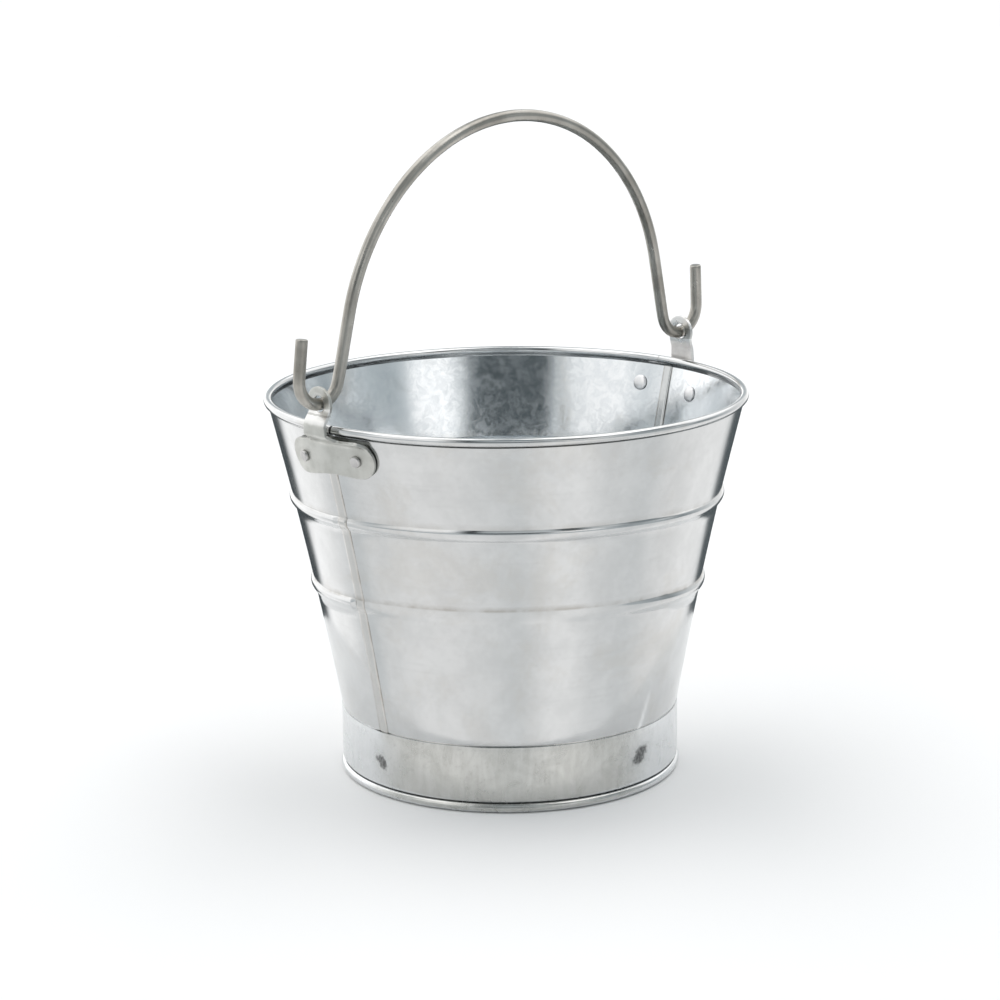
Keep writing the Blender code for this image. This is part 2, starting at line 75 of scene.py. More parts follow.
# A panel's roll starts this far past the middle of its first seam, and ends this far past the second
ROLL_CUT_INNER = 0.0055
ROLL_PAST_END = {"rear": 0.0043, "front": 0.0053}
RIM_WIRE_RADIUS, RIM_WIRE_SIDES, RIM_WIRE_STEPS = 0.0009, 12, 240
DISC_TOP, DISC_RADIUS, DISC_SHEET = 0.0112, 0.0645, 0.0006
DISC_STEP_RADIUS, DISC_STEP, DISC_STEP_RUN, DISC_FOOT = 0.0520, 0.0010, 0.0030, 0.00615
DISC_BEND, DISC_PIN, DISC_SIDES = 0.0012, 0.0002, 144
BAND_RADIUS, BAND_TOP = 0.0707, 0.0273
CURL_CENTRE_RADIUS, CURL_MID_RADIUS, CURL_TOP = 0.0694, 0.00175, 0.006
EAR_SHEET, EAR_STANDOFF = 0.0014, 0.00055
EAR_LOBE_OFFSET, EAR_LOBE_RADIUS, EAR_LOBE_Z = 0.0166, 0.0073, 0.1454
EAR_WAIST, EAR_NECK_HALF, EAR_FILLET = 0.0011, 0.0060, 0.0036
EAR_REFERENCE_RADIUS = 0.0970
RIVET_HEAD_RADIUS, RIVET_TAIL_RADIUS = 0.0033, 0.0024
EYE_RADIUS, EYE_HOLE_RADIUS, HINGE_Z = 0.0067, 0.0032, 0.1695
EYE_HOLE_SIDES = 48
EAR_SET_FROM, EAR_SET_TO = 0.1550, 0.1625
RIVET_OFFSET, RIVET_Z = 0.01535, 0.1460
RIVET_HEAD_HIGHLIGHT = 0.9       # the inside heads get a painted highlight, near white
BAIL_WIRE_RADIUS = 0.00242
BAIL_ARCH_RADIUS, BAIL_ARCH_CENTRE_Z = 0.0884, 0.01475
BAIL_ARCH_END_DEG, BAIL_END_DEG = 13.4, 5.0
# Each side of the bail, bent by hand: how far the leg leans and its length, the hook's radius and
# the length of the free end
BAIL_SIDES = {-1.0: (11.9, 0.0292, 0.0101, 0.0161), 1.0: (13.4, 0.0271, 0.0107, 0.0170)}
BAIL_TILT_DEG, BAIL_SHIFT = 2.45, 0.0012

# ---------------------------------------------------------------- camera, matched to the view
CAMERA_HEADING_DEG = -43.39
CAMERA_PITCH_DEG = 13.21
CAMERA_ROLL_DEG = -0.69
CAMERA_PLACE = (-0.8377, -0.8817, 0.3983)
CAMERA_LENS_MM, CAMERA_SENSOR_MM = 108.0, 36.0
TOWARDS_CAMERA_DEG = 226.47   # polar angle of the camera seen from the bucket's axis


# ---------------------------------------------------------------- geometry helpers
def smooth_step(value, low, high):
    t = min(max((value - low) / (high - low), 0.0), 1.0)
    return t * t * (3.0 - 2.0 * t)


def arc(centre, radius, start_deg, end_deg, steps):
    angles = np.radians(np.linspace(start_deg, end_deg, steps + 1))
    return [(centre[0] + radius * math.cos(a), centre[1] + radius * math.sin(a)) for a in angles]


def corners(centre, radius, sides):
    """Points of a closed ring."""
    return arc(centre, radius, 0.0, 360.0 - 360.0 / sides, sides - 1)


def thicken(midline, thickness):
    """Closed outline of a sheet whose middle follows the open line, left side first."""
    p = np.array(midline)
    step = np.diff(p, axis=0)
    step /= np.linalg.norm(step, axis=1)[:, None]
    into = np.vstack([step[:1], step])
    out = np.vstack([step, step[-1:]])
    tangent = into + out
    tangent /= np.linalg.norm(tangent, axis=1)[:, None]
    normal = np.stack([-tangent[:, 1], tangent[:, 0]], 1)
    along = np.maximum((normal * np.stack([-out[:, 1], out[:, 0]], 1)).sum(1), 0.5)
    reach = normal * (0.5 * thickness / along)[:, None]
    return np.vstack([p + reach, (p - reach)[::-1]])


def sweep(sections, closed):
    """Vertices and quads of a skin through equal rings of points, capped at its ends if open."""
    count = len(sections[0])
    verts = np.concatenate([np.asarray(s, float) for s in sections])
    faces, where = [], []
    rings = len(sections)
    for ring in range(rings if closed else rings - 1):
        a, b = ring * count, ((ring + 1) % rings) * count
        for index in range(count):
            nxt = (index + 1) % count
            faces.append((a + index, a + nxt, b + nxt, b + index))
            where.append(index)
    if not closed:
        faces.append(tuple(range(count))[::-1])
        faces.append(tuple(range((rings - 1) * count, rings * count)))
        where += [0, 0]
    return verts, faces, where


class Builder:
    """Gathers skins into one object, with material slots. Named point values belong to the first skin."""

    def __init__(self, name):
        self.name = name
        self.verts, self.faces, self.slots = [], [], []
        self.values = {}
        self.count = 0

    def add(self, verts, faces, slots=0, **values):
        self.verts.append(np.asarray(verts, float))
        self.faces += [tuple(i + self.count for i in face) for face in faces]
        self.slots += list(slots) if hasattr(slots, "__len__") else [slots] * len(faces)
        self.values.update(values)
        self.count += len(verts)

    def build(self, materials, body, replaced, sharp_deg=40.0, turn=0.0):
        mesh = bpy.data.meshes.new(self.name)
        mesh.from_pydata(np.concatenate(self.verts).tolist(), [], self.faces)
        for material in materials:
            mesh.materials.append(material)
        mesh.polygons.foreach_set("material_index", self.slots)
        bm = bmesh.new()
        bm.from_mesh(mesh)
        bmesh.ops.recalc_face_normals(bm, faces=bm.faces)
        bm.to_mesh(mesh)
        bm.free()
        for key, value in self.values.items():
            data = np.concatenate([value, np.zeros(self.count - len(value))])
            mesh.attributes.new(key, "FLOAT", "POINT").data.foreach_set("value", data)
        mesh.shade_smooth()
        mesh.set_sharp_from_angle(angle=math.radians(sharp_deg))
        made = bpy.data.objects.new(self.name, mesh)
        made.rotation_euler.z = turn
        bpy.context.scene.collection.objects.link(made)
        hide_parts(*replaced)
        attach(made, body)


def wall_radius(z):
    return WALL_RADIUS + WALL_SLOPE * z + WALL_FLARE * z * z


def wall_tilt(z):
    return math.atan(WALL_SLOPE + 2.0 * WALL_FLARE * z)


def ring_points(outline, angle, along=0.0, shift=0.0, sway=None):
    """A section of (radius, z) points at a polar angle, moved along and out by small amounts."""
    r = outline[:, 0] + shift
    turned = angle + along / np.maximum(r, 0.001)
    if sway is not None:
        r = r + sway(turned, outline[:, 1])
    return np.stack([r * np.cos(turned), r * np.sin(turned), outline[:, 1]], 1)


# ---------------------------------------------------------------- materials
class Nodes:
    """Short calls for building the node tree of a material or of the world."""

    def __init__(self, owner, coords):
        owner.use_nodes = True
        self.tree = owner.node_tree
        self.coords = self.tree.nodes.new("ShaderNodeTexCoord").outputs[coords]

    def link(self, value, socket):
        if isinstance(value, bpy.types.NodeSocket):
            self.tree.links.new(value, socket)
        else:
            socket.default_value = value

    def node(self, kind, inputs, **settings):
        """A new node with its settings, and its inputs by name or place."""
        made = self.tree.nodes.new("ShaderNode" + kind)
        for key, value in settings.items():
            setattr(made, key, value)
        for key, value in inputs.items():
            self.link(value, made.inputs[key])
        return made

    def stretch(self, scale, turn=(0.0, 0.0, 0.0)):
        inputs = {"Vector": self.coords, "Scale": scale, "Rotation": turn}
        return self.node("Mapping", inputs).outputs["Vector"]

    def noise(self, scale, detail=3.0, rough=0.5, vector=None, distortion=0.0):
        return self.node("TexNoise", {"Vector": vector or self.coords, "Scale": scale, "Detail": detail,
                                      "Roughness": rough, "Distortion": distortion})

    def cloud(self, *args, **keys):
        """The plain value of a noise texture."""
        return self.noise(*args, **keys).outputs["Fac"]

    def math(self, operation, a, b):
        return self.node("Math", {0: a, 1: b}, operation=operation).outputs[0]

    def times(self, a, b):
        return self.math("MULTIPLY", a, b)

    def plus(self, a, b):
        return self.math("ADD", a, b)

    def vector(self, operation, a, b=(0.0, 0.0, 0.0)):
        second = 3 if operation == "SCALE" else 1
        return self.node("VectorMath", {0: a, second: b}, operation=operation).outputs["Vector"]

    def band(self, value, low, high, to_low=0.0, to_high=1.0):
        """Runs smoothly from one level to another as the value goes from low to high."""
        inputs = {"Value": value, "From Min": low, "From Max": high, "To Min": to_low, "To Max": to_high}
        return self.node("MapRange", inputs, interpolation_type="SMOOTHSTEP").outputs["Result"]

    def ramp(self, value, stops):
        made = self.node("ValToRGB", {"Fac": value})
        elements = made.color_ramp.elements
        elements.remove(elements[-1])
        for index, (position, level) in enumerate(stops):
            element = elements[0] if index == 0 else elements.new(position)
            element.position = position
            element.color = level
        return made.outputs["Color"]

    def mix(self, factor, a, b):
        made = self.node("Mix", {"Factor": factor}, data_type="RGBA")
        for key, value in (("A", a), ("B", b)):
            self.link(value if isinstance(value, bpy.types.NodeSocket) else (*value, 1.0), made.inputs[key])
        return made.outputs["Result"]

    def stain(self, colour, amount, strength, tone):
        """A colour with a tone laid over it where the amount is high."""
        return self.mix(self.times(amount, strength), colour, tone)

    def value_of(self, name):
        return self.node("Attribute", {}, attribute_name=name).outputs["Fac"]

    def parts(self, vector):
        return self.node("SeparateXYZ", {"Vector": vector}).outputs

    def bump(self, height, distance, strength, **normal):
        inputs = {"Height": height, "Distance": distance, "Strength": strength, **normal}
        return self.node("Bump", inputs).outputs["Normal"]

    def facet_normal(self, colour, amount):
        """The surface normal leaned by a random vector for each zinc crystal."""
        normal = self.node("NewGeometry", {}).outputs["Normal"]
        lean = self.vector("SCALE", self.vector("SUBTRACT", colour, (0.5, 0.5, 0.5)), amount)
        return self.vector("NORMALIZE", self.vector("ADD", normal, lean))


class Material(Nodes):
    """The node tree of a Principled material."""

    def __init__(self, name):
        self.material = bpy.data.materials.new(name)
        super().__init__(self.material, "Object")
        self.shader = self.tree.nodes["Principled BSDF"]

    def finish(self, **sockets):
        for key, value in sockets.items():
            self.link(value, self.shader.inputs[key.replace("_", " ")])
        return self.material


SOLDER_GREY, SOLDER_AMOUNT = (0.56, 0.545, 0.515), 0.45
# dark brown for the lines along the seam's edge and bend, and for the painted shade along the top of each
# bead
LINE_AND_SHADE_BROWN, LINE_AND_SHADE_AMOUNT = (0.30, 0.275, 0.235), 0.62


def seam_and_dirt(n, colour):
    """Warm grey along the folded seam, dark brown lines along its edge and bend, and painted shade along
    the top of each bead.
    """
    colour = n.stain(colour, n.value_of("seam"), SOLDER_AMOUNT, SOLDER_GREY)
    # dark brown seam lines and painted shade along the top of each bead, laid on in patches
    patchy = n.band(n.cloud(90.0, 4.0, 0.6), 0.35, 0.65, 0.2, 1.0)
    return n.stain(colour, n.times(n.value_of("dirt"), patchy), LINE_AND_SHADE_AMOUNT, LINE_AND_SHADE_BROWN)


def zinc_outside():
    """Bright galvanised sheet: soft mottling, rolling lines round the wall, stains and scratches."""
    n = Material("zinc_outside")
    mottle = n.cloud(70.0, 6.0, 0.7)
    colour = n.mix(n.band(mottle, 0.34, 0.66), (0.605, 0.612, 0.612), (0.655, 0.662, 0.662))
    warm = n.band(n.cloud(24.0, 6.0, 0.7, distortion=0.5), 0.50, 0.66)
    colour = n.stain(colour, warm, 0.38, (0.58, 0.565, 0.535))
    rolled = n.cloud(150.0, 3.0, 0.5, n.stretch((0.12, 0.12, 5.0)))
    colour = n.stain(colour, n.band(rolled, 0.56, 0.72), 0.06, (0.42, 0.42, 0.41))
    speck = n.band(n.cloud(420.0, 4.0, 0.7, n.stretch((1.0, 1.0, 1.6))), 0.62, 0.76)
    colour = n.stain(colour, speck, 0.22, (0.38, 0.36, 0.33))
    scratch = n.cloud(700.0, 2.0, 0.5, n.stretch((1.0, 1.0, 0.05), (0.7, 0.4, 0.0)))
    scratch = n.band(scratch, 0.68, 0.80)
    colour = n.stain(colour, scratch, 0.20, (0.75, 0.75, 0.74))
    # warm grey seam, dark seam lines, and painted shade along the top of each bead
    colour = seam_and_dirt(n, colour)
    colour = n.mix(n.value_of("polish"), colour, (0.98, 0.985, 0.99))
    rough_value = n.band(mottle, 0.3, 0.7, 0.17, 0.13)
    rough_value = n.plus(rough_value, n.times(warm, 0.05))
    rough_value = n.plus(rough_value, n.times(n.value_of("seam"), 0.06))
    height = n.plus(n.times(rolled, 0.25), n.cloud(420.0, 4.0, 0.6))
    height = n.math("SUBTRACT", height, n.times(scratch, 0.3))
    return n.finish(Base_Color=colour, Metallic=1.0, Roughness=rough_value,
                    Normal=n.bump(height, 0.00002, 0.3))


def zinc_inside(name, dark, light):
    """Galvanised sheet with small crinkled zinc crystals that tilt the reflection a little."""
    n = Material(name)
    warp = n.noise(90.0, 4.0, 0.65)
    wobble = n.vector("SCALE", n.vector("SUBTRACT", warp.outputs["Color"], (0.5, 0.5, 0.5)), 0.022)
    crystals = n.node("TexVoronoi", {"Vector": n.vector("ADD", n.coords, wobble), "Scale": 150.0})
    grey = n.node("SeparateColor", {"Color": crystals.outputs["Color"]})
    crinkle = n.noise(190.0, 5.0, 0.68, distortion=1.3)
    cloud = n.band(crinkle.outputs["Fac"], 0.36, 0.64)
    tone = n.plus(n.times(grey.outputs["Red"], 0.30), n.times(cloud, 0.70))
    colour = n.mix(tone, dark, light)
    stain = n.band(n.cloud(30.0, 4.0, 0.6, distortion=0.8), 0.54, 0.68)
    colour = n.stain(colour, stain, 0.25, (0.58, 0.59, 0.57))
    # warm grey seam, dark seam lines, and painted shade along the top of each bead
    colour = seam_and_dirt(n, colour)
    rough_value = n.plus(n.band(cloud, 0.0, 1.0, 0.18, 0.11), n.times(grey.outputs["Green"], 0.05))
    lean = n.vector("ADD", n.vector("SCALE", crystals.outputs["Color"], 0.35),
                    n.vector("SCALE", crinkle.outputs["Color"], 0.65))
    height = n.cloud(420.0, 4.0, 0.6, distortion=0.8)
    normal = n.bump(height, 0.00003, 0.4, Normal=n.facet_normal(lean, 0.017))
    return n.finish(Base_Color=colour, Metallic=1.0, Roughness=rough_value,
                    Normal=normal)


def foot_zinc():
    """Duller zinc with upright streaks, handling marks and dark weld spots, and a painted reflection that
    turns it lighter and cooler towards a grazing view.
    """
    n = Material("foot_zinc")
    blotch = n.cloud(75.0, 5.0, 0.66, distortion=0.9)
    streak = n.cloud(330.0, 4.0, 0.6, n.stretch((1.0, 1.0, 0.22)))
    fleck = n.band(blotch, 0.34, 0.66)
    tone = n.plus(n.times(fleck, 0.55), n.times(n.band(streak, 0.35, 0.68), 0.45))
    # painted reflection: darker where the band faces the viewer, lighter and cooler towards a grazing view
    facing = n.mix(tone, (0.49, 0.49, 0.465), (0.60, 0.60, 0.58))
    painted_grazing_sheen = n.mix(tone, (0.72, 0.735, 0.74), (0.78, 0.79, 0.80))
    away = n.node("LayerWeight", {"Blend": 0.5}).outputs["Facing"]
    colour = n.mix(n.band(away, 0.22, 0.50), facing, painted_grazing_sheen)
    speck = n.band(n.cloud(700.0, 2.0), 0.62, 0.75)
    colour = n.stain(colour, speck, 0.25, (0.38, 0.38, 0.36))
    weld = n.value_of("weld")
    torn = n.plus(weld, n.band(n.cloud(380.0, 4.0, 0.7), 0.3, 0.7, -0.30, 0.30))
    scorch = n.band(n.cloud(900.0, 3.0, 0.6), 0.34, 0.62, 0.62, 1.0)
    ragged = n.times(n.band(torn, 0.15, 0.75), scorch)
    colour = n.stain(colour, n.value_of("halo"), 0.22, (0.36, 0.36, 0.345))
    colour = n.stain(colour, ragged, 0.90, (0.10, 0.10, 0.10))
    rough_value = n.plus(n.band(blotch, 0.35, 0.65, 0.28, 0.21), n.times(weld, 0.30))
    height = n.plus(n.times(n.cloud(1200.0, 2.0), 0.4), streak)
    return n.finish(Base_Color=colour, Metallic=1.0, Roughness=rough_value,
                    Normal=n.bump(height, 0.00006, 0.4))


# near white of the painted highlight on the inside rivet heads
RIVET_HIGHLIGHT_WHITE = (0.97, 0.96, 0.96)
EAR_HIGHLIGHT_WHITE = (0.97, 0.96, 0.945)
EAR_SHADOW_DARK = (0.24, 0.235, 0.215)
EYE_SHADE_GREY = (0.36, 0.38, 0.36)
# Painted highlights and painted shade in bands across each ear: from and to these heights, edge width,
# colour, amount
EAR_PAINTED_LIGHT = {
    # left: painted highlight on the bent neck, and a painted shadow line across it
    "left": ((0.1614, 0.1662, 0.0014, EAR_HIGHLIGHT_WHITE, 0.62),
             (0.1640, 0.1643, 0.0004, EAR_SHADOW_DARK, 0.50)),
    # right: painted shade on the eye's lower part, painted highlight on its top, and a painted highlight
    # line below it
    "right": ((0.1676, 0.1728, 0.0006, EYE_SHADE_GREY, 0.60),
              (0.1728, 0.1800, 0.0010, EAR_HIGHLIGHT_WHITE, 0.90),
              (0.1667, 0.1676, 0.0003, EAR_HIGHLIGHT_WHITE, 0.90))}


def plate_zinc(name, dark, light, rough, marks=()):
    """Matt zinc plate of the ears and rivets, with tumbling marks and dirty specks; painted highlight on
    the rivet heads, and painted highlight and shade in bands across the ears.
    """
    n = Material(name)
    cloud = n.band(n.cloud(140.0, 4.0, 0.6), 0.3, 0.7)
    colour = n.mix(cloud, dark, light)
    speck = n.band(n.cloud(1100.0, 3.0, 0.6), 0.60, 0.78)
    colour = n.stain(colour, speck, 0.3, (0.30, 0.295, 0.27))
    wear = n.value_of("wear")
    colour = n.stain(colour, wear, 0.5, (0.72, 0.72, 0.70))
    # painted highlight: near white where the bright value is set, on the inside rivet heads
    colour = n.mix(n.value_of("bright"), colour, RIVET_HIGHLIGHT_WHITE)
    if marks:
        ragged = n.band(n.cloud(260.0, 3.0, 0.6), 0.25, 0.75, -0.0002, 0.0002)
        height = n.plus(n.parts(n.coords)["Z"], ragged)
    # painted highlight and painted shade in bands across the ear
    for low, high, edge, tone, amount in marks:
        inside = n.times(n.band(height, low - edge, low), n.band(height, high, high + edge, 1.0, 0.0))
        colour = n.stain(colour, inside, amount, tone)
    rough_value = n.band(cloud, 0.0, 1.0, rough + 0.05, rough - 0.05)
    rough_value = n.math("SUBTRACT", rough_value, n.times(wear, 0.15))
    height = n.plus(n.cloud(700.0, 3.0, 0.6), n.times(n.cloud(90.0, 2.0), 0.8))
    return n.finish(Base_Color=colour, Metallic=1.0, Roughness=rough_value,
                    Normal=n.bump(height, 0.00012, 0.5))


def wire_steel(name, dark, light, rough):
    """Drawn steel wire: lengthwise drawing lines, brown film and pale rubbed patches."""
    n = Material(name)
    film = n.cloud(45.0, 4.0, 0.6)
    colour = n.mix(n.band(film, 0.3, 0.7), dark, light)
    rub = n.band(n.cloud(210.0, 4.0, 0.65, n.stretch((0.5, 1.0, 0.35))), 0.55, 0.72)
    colour = n.stain(colour, rub, 0.45, (0.55, 0.53, 0.49))
    speck = n.band(n.cloud(1500.0, 2.0), 0.62, 0.74)
    colour = n.stain(colour, speck, 0.35, (0.16, 0.145, 0.12))
    rough_value = n.band(film, 0.3, 0.7, rough + 0.07, rough - 0.03)
    rough_value = n.math("SUBTRACT", rough_value, n.times(rub, 0.08))
    line = n.cloud(1300.0, 2.0, 0.5, n.stretch((1.0, 1.0, 0.05)))
    height = n.plus(n.times(line, 0.7), n.cloud(500.0, 3.0, 0.6))
    return n.finish(Base_Color=colour, Metallic=1.0, Roughness=rough_value,
                    Normal=n.bump(height, 0.0001, 0.4))


# ---------------------------------------------------------------- body panels
def bead_depths(angle):
    """Share of its full depth that each bead has at a polar angle; the front panel was pressed less."""
    degree = math.degrees(angle) % 360.0
    into = smooth_step(degree, PRESS_FROM_DEG, PRESS_TO_DEG)
    if degree < 180.0:
        into = 1.0 - smooth_step(degree, 180.0 - PRESS_FADE_DEG, 180.0)
    return tuple(light + (1.0 - light) * into for light in PRESS_LIGHT)


def bead_falls(angle):
    """How far each bead lies below its nominal height at a polar angle."""
    side = math.cos(angle - math.radians(BEAD_DIP_DEG))
    return tuple(drop + (first if side > 0.0 else second) * abs(side) ** 3
                 for drop, first, second in BEAD_FALLS)


def wall_midline(depths, falls):
    """Middle line of the wall's sheet, from the lip at the bottom to the start of the rim roll."""
    half = 0.5 * SHEET

    def wall(z, inset=0.0):
        return (wall_radius(z) - half - inset, z)

    corner = wall(BODY_FOOT, FOOT_STEP)
    points = [(LIP_INNER_RADIUS, BODY_FOOT)]
    points += arc((corner[0] - LIP_BEND, corner[1] + LIP_BEND), LIP_BEND, -90.0, -8.0, 6)
    points += [wall(z, FOOT_STEP) for z in np.linspace(LIP_BEND_TOP, FOOT_STEP_LOW, 6)]
    points += [wall(z, FOOT_STEP * (1.0 - smooth_step(z, FOOT_STEP_LOW, FOOT_STEP_HIGH)))
               for z in np.linspace(FOOT_STEP_LOW, FOOT_STEP_HIGH, 6)[1:]]
    below = FOOT_STEP_HIGH
    for (centre, height, stand_out), depth, fall in zip(BEADS, depths, falls):
        foot, head = centre - fall - 0.5 * height, centre - fall + 0.5 * height
        points += [wall(z) for z in np.linspace(below, foot, WALL_STEPS)[1:]]
        skew = 1.0 + depth * (BEAD_SKEW - 1.0)
        soft = BEAD_SHOULDER + PRESS_SOFT * (1.0 - depth)
        for step in range(1, BEAD_STEPS):
            down = 1.0 - step / BEAD_STEPS
            swell = depth * stand_out * math.sin(math.pi * down ** skew) ** soft
            points.append(wall(foot + height * (1.0 - down), -swell))
        points.append(wall(head))
        below = head
    points += [wall(z) for z in np.linspace(below, WALL_TOP, WALL_STEPS)[1:]]
    return points


def roll_midline():
    start = (wall_radius(WALL_TOP) - 0.5 * SHEET, WALL_TOP)
    curl = arc((ROLL_CENTRE_RADIUS, ROLL_CENTRE_Z), ROLL_MID_RADIUS, *ROLL_TURN_DEG, 30)
    neck = (0.5 * (start[0] + curl[0][0]) - ROLL_NECK, 0.5 * (start[1] + curl[0][1]))
    return [start, neck] + curl


SWAY_FOOT = (0.028, 0.050)    # the sway comes in between these heights
SWAY_RIM = (0.140, 0.155)     # and dies out between these
# Slow and fine sway: how many waves around and up the sheet, and how far it moves
SWAYS = ((2.6, 16.0, 0.00022), (9.0, 45.0, 0.00004))


def sheet_sway(seed):
    """Out-of-round of a rolled sheet, dying out at the rim and at the foot."""
    def waves(around, up, angle, z):
        return np.array([noise.noise(Vector((around * math.cos(a), around * math.sin(a), v * up + seed)))
                         for a, v in zip(angle, z)])

    def sway(angle, z):
        free = np.array([smooth_step(v, *SWAY_FOOT) * (1.0 - smooth_step(v, *SWAY_RIM)) for v in z])
        return free * sum(size * waves(around, up, angle, z) for around, up, size in SWAYS)
    return sway


SEAM_CLOSE = 0.0003       # the hidden sheet turns up this close to the edge that covers it
EDGE_TUCK = 0.00022       # the covering sheet's edge is hammered down this far
# width of the painted shade along the top of a bead, and of the dark lines along the seam
LINE_AND_SHADE_WIDTH = 0.0007
EDGE_ROUND = 0.0006       # width over which a sheet's free edge is rounded off
EDGE_THIN = 0.35          # share of the sheet's thickness left at the very edge
LAP_CLEAR = 0.00012       # the covered sheet starts to turn up this far past the covering edge
SEAM_CREASE = 0.0004      # a dark line lies this far beside the seam's bend
EDGE_STRIP = 0.0010       # the strip beside a sheet's edge starts this far from the seam's middle,
TUCK_FROM = 0.0011        # and is hammered down from here on
WALL_TURN_DEG = (3.2, 177.0)     # the free wall between the seams, and its steps
WALL_STEP_DEG = 0.6


def panel_stations():
    """(angle, arc length, shift, seam value) from the inner edge at angle 0 to the outer edge at pi."""
    stations = []
    low = SEAM_EDGE + LAP_CLEAR
    high = low + SEAM_CLOSE
    for s in np.linspace(-SEAM_EDGE, -EDGE_STRIP, 8):
        tuck = EDGE_TUCK * smooth_step(-s, TUCK_FROM, SEAM_EDGE)
        stations.append((0.0, s, tuck - SEAM_SINK, 1.0))
    for s in [0.0, 0.0012] + list(np.linspace(low - 0.0001, high + 0.0001, 9)) + [0.0029, 0.0034]:
        sink = 1.0 - smooth_step(s, low, high)
        stations.append((0.0, s, -SEAM_SINK * sink, sink))
    for degree in np.arange(*WALL_TURN_DEG, WALL_STEP_DEG):
        stations.append((math.radians(degree), 0.0, 0.0, 0.0))
    for s in [-0.0034] + list(np.linspace(-SEAM_RAMP, -SEAM_BEND, 7)) + [-0.0014, -0.0005, 0.0004]:
        rise = smooth_step(s, -SEAM_RAMP + 0.0003, -SEAM_BEND)
        stations.append((math.pi, s, SEAM_RAISE * rise, rise))
    for s in np.linspace(EDGE_STRIP, SEAM_EDGE, 8):
        tuck = EDGE_TUCK * smooth_step(s, TUCK_FROM, SEAM_EDGE)
        stations.append((math.pi, s, SEAM_RAISE - tuck, 1.0))
    return stations


# Each spot weld: polar angle in degrees, height, radius, how much wider than high, and its slant
WELDS = ((178.7, 0.0147, 0.0028, 1.25, -0.35), (274.9, 0.0162, 0.0033, 1.40, 0.40),
         (2.0, 0.0150, 0.0029, 1.30, 0.20), (92.0, 0.0156, 0.0030, 1.20, -0.25))
STREAK_HALF = 0.0011       # half width of the bright streak that a weld pulls into the wall
STREAK_HEIGHT = 0.017
STREAK_TUCK = 0.002        # it starts this far behind the foot band
STREAK_LEAN = 0.25         # how much it leans sideways as it rises
STREAK_FADE = 0.7          # below 1 keeps it bright for most of its height


def streak_above_weld(angle, outline):
    """How far each point of a section lies in the streak above the front or the rear weld."""
    z = outline[:, 1]
    amount = np.zeros(len(outline))
    for weld_deg, *_ in WELDS[1::2]:
        lean = STREAK_LEAN * (z - BAND_TOP)
        turn = (angle - math.radians(weld_deg) + math.pi) % (2 * math.pi) - math.pi
        across = (turn * outline[:, 0] - lean) / STREAK_HALF
        up = np.clip((z - BAND_TOP) / STREAK_HEIGHT, 0.0, 1.0)
        bright = np.exp(-across ** 2) * (1.0 - up) ** STREAK_FADE
        amount = np.maximum(amount, bright * (z > BAND_TOP - STREAK_TUCK))
    return amount


def build_panel(side, turn, seed, outside, inside):
    builder = Builder("wall_" + side)
    sway = sheet_sway(seed)
    sections, seam, dirt, polish = [], [], [], []
    for angle, s, shift, value in panel_stations():
        free = SEAM_EDGE + s if angle == 0.0 else SEAM_EDGE - s
        thin = 1.0 if s == 0.0 else EDGE_THIN + (1.0 - EDGE_THIN) * smooth_step(free, 0.0, EDGE_ROUND)
        falls = bead_falls(angle + turn)
        outline = thicken(wall_midline(bead_depths(angle + turn), falls), SHEET * thin)
        # painted shade along the top edge of each bead
        over_bead = np.zeros(len(outline))
        for (centre, height, _), share, fall in zip(BEADS, BEAD_SHADE, falls):
            away = np.abs(outline[:, 1] - centre + fall - 0.5 * height)
            over_bead = np.maximum(over_bead, share * np.clip(1.0 - away / LINE_AND_SHADE_WIDTH, 0.0, 1.0))
        sections.append(ring_points(outline, angle + turn, s, shift, sway))
        seam.append(np.full(len(outline), value))
        # dark lines along the covering sheet's edge and beside the seam's bend
        reach = abs(s - SEAM_EDGE)
        if angle > 0.0:
            reach = min(reach, abs(s + SEAM_BEND + SEAM_CREASE))
        edge = max(0.0, 1.0 - reach / LINE_AND_SHADE_WIDTH) if s != 0.0 else 0.0
        dirt.append(np.maximum(over_bead, edge))
        polish.append(streak_above_weld(angle + turn, outline))
    verts, faces, where = sweep(sections, False)
    half = len(outline) // 2
    builder.add(verts, faces, [1 if i < half - 1 else 0 for i in where],
                seam=np.concatenate(seam), dirt=np.concatenate(dirt), polish=np.concatenate(polish))
    outline = thicken(roll_midline(), SHEET)
    start = ROLL_CUT_INNER / ROLL_CENTRE_RADIUS
    end = math.pi + ROLL_PAST_END[side] / ROLL_CENTRE_RADIUS
    sections = [ring_points(outline, a + turn) for a in np.linspace(start, end, ROLL_STATIONS)]
    verts, faces, _ = sweep(sections, False)
    builder.add(verts, faces)
    builder.build([outside, inside], "bucket", ["body_panel_" + side])


# ---------------------------------------------------------------- rim wire, disc and foot band
def full_turn(steps):
    return np.linspace(0, 2 * math.pi, steps, endpoint=False)


def build_rim_wire(material):
    builder = Builder("rim_hoop")
    outline = np.array(corners((ROLL_CENTRE_RADIUS, ROLL_CENTRE_Z), RIM_WIRE_RADIUS, RIM_WIRE_SIDES))
    verts, faces, _ = sweep([ring_points(outline, a) for a in full_turn(RIM_WIRE_STEPS)], True)
    builder.add(verts, faces)
    builder.build([material], "bucket", ["rim_wire"])


